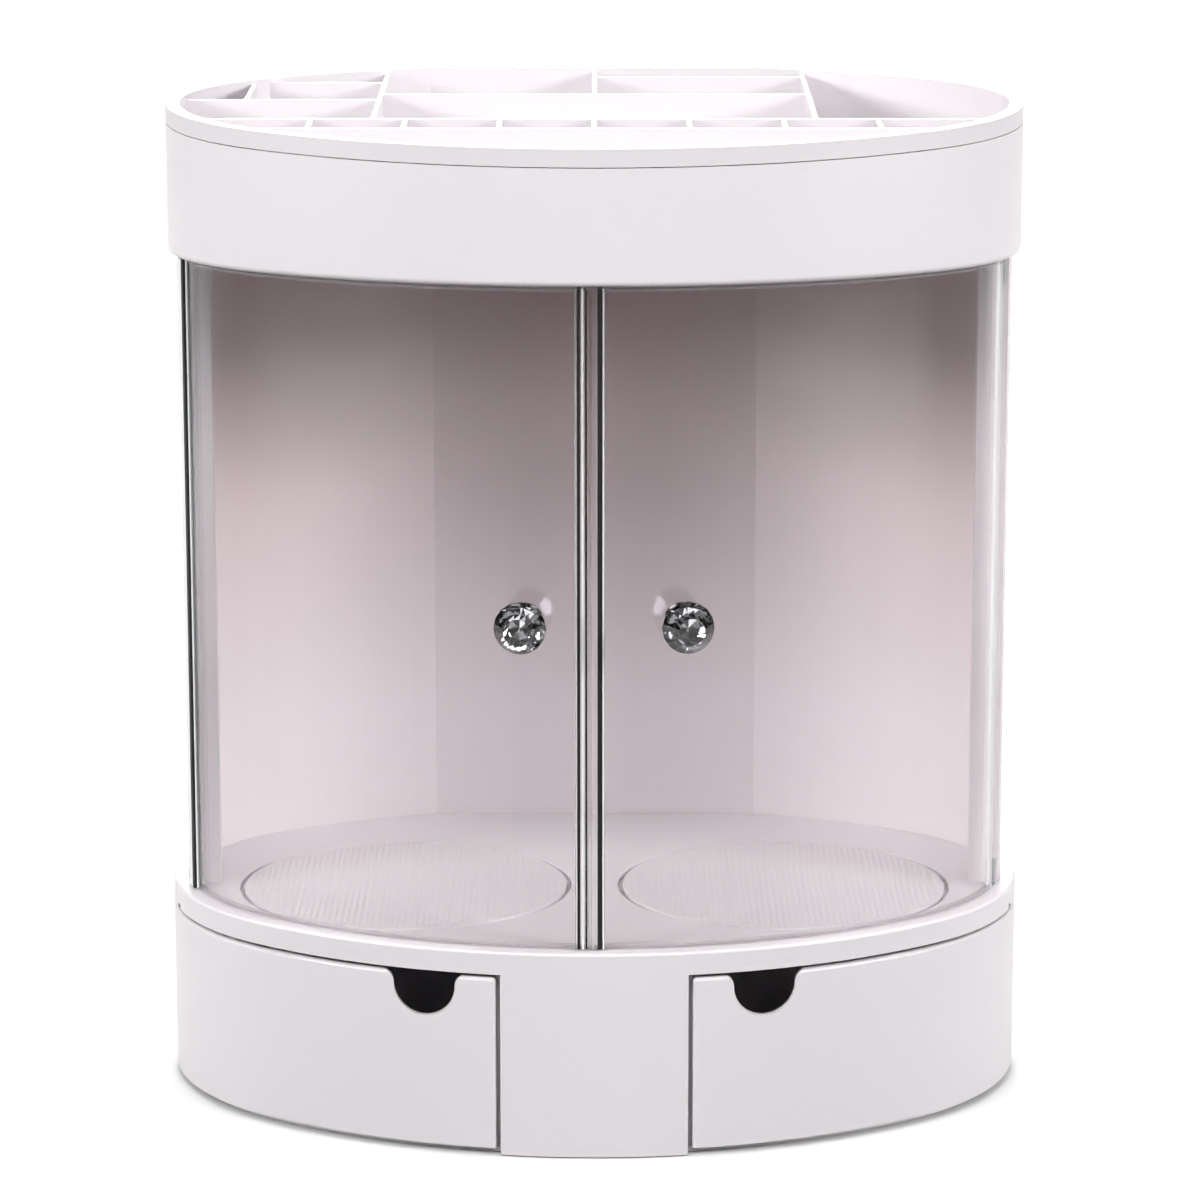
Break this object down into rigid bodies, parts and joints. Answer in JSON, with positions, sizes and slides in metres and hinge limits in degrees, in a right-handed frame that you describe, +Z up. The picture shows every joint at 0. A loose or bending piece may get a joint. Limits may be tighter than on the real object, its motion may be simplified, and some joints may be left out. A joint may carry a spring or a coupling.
{
  "type": "makeup organizer with drawers",
  "caption": "Oval countertop makeup organizer: a sloping compartment tray over a cabinet with clear curved swing doors and turntables, and swing-out drawers in its base",
  "frame": {"origin": "on the table, at the underside of the middle foot, below the middle of the oval's widest line", "axes": "+X to the right as the doors are faced, +Y to the flat back, +Z up"},
  "size_m": [0.305, 0.2127, 0.3557],
  "materials": {
    "white_plastic": "smooth moulded white plastic with a soft gloss",
    "clear_plastic": "clear polished acrylic",
    "crystal": "faceted clear crystal",
    "chrome": "polished plating",
    "steel": "plain steel pins and screws",
    "rubber": "soft pale rubber"
  },
  "bodies": {
    "cabinet": {"base_housing": "white_plastic", "base_plate": "white_plastic", "back_shell": "white_plastic", "top_housing": "white_plastic", "left_drawer_pin": "steel", "right_drawer_pin": "steel", "base_screws": "steel", "deck_screws": "steel", "roof_screws": "steel", "rubber_feet": "rubber"},
    "tray": {"compartment_tray": "white_plastic"},
    "left_door": {"left_door_panel": "clear_plastic", "left_door_meeting_strip": "clear_plastic", "left_door_hinge_strip": "clear_plastic", "left_door_pins": "steel", "left_knob_base": "chrome", "left_knob_crystal": "crystal", "left_knob_screw": "steel"},
    "right_door": {"right_door_panel": "clear_plastic", "right_door_meeting_strip": "clear_plastic", "right_door_hinge_strip": "clear_plastic", "right_door_pins": "steel", "right_knob_base": "chrome", "right_knob_crystal": "crystal", "right_knob_screw": "steel"},
    "left_drawer": {"left_drawer": "white_plastic"},
    "right_drawer": {"right_drawer": "white_plastic"},
    "left_turntable": {"left_turntable": "white_plastic", "left_turntable_washer": "steel", "left_turntable_screw": "steel"},
    "right_turntable": {"right_turntable": "white_plastic", "right_turntable_washer": "steel", "right_turntable_screw": "steel"}
  },
  "joints": [
    {"name": "tray_lift", "type": "slide", "parent": "cabinet", "child": "tray", "axis": [0, 0, 1], "range_m": [0, 0.06]},
    {"name": "left_door_hinge", "type": "hinge", "parent": "cabinet", "child": "left_door", "pos_m": [-0.14249, -0.0243, 0.1853], "axis": [0, 0, -1], "range_deg": [0, 105]},
    {"name": "right_door_hinge", "type": "hinge", "parent": "cabinet", "child": "right_door", "pos_m": [0.14249, -0.0243, 0.1853], "axis": [0, 0, 1], "range_deg": [0, 105]},
    {"name": "left_drawer_swing", "type": "hinge", "parent": "cabinet", "child": "left_drawer", "pos_m": [-0.14637, -0.00468, 0.033], "axis": [0, 0, -1], "range_deg": [0, 75]},
    {"name": "right_drawer_swing", "type": "hinge", "parent": "cabinet", "child": "right_drawer", "pos_m": [0.14637, -0.00468, 0.033], "axis": [0, 0, 1], "range_deg": [0, 75]},
    {"name": "left_turntable_spin", "type": "hinge", "parent": "cabinet", "child": "left_turntable", "pos_m": [-0.0675, -0.02398, 0.0713], "axis": [0, 0, 1], "continuous": true},
    {"name": "right_turntable_spin", "type": "hinge", "parent": "cabinet", "child": "right_turntable", "pos_m": [0.0675, -0.02398, 0.0713], "axis": [0, 0, 1], "continuous": true}
  ]
}
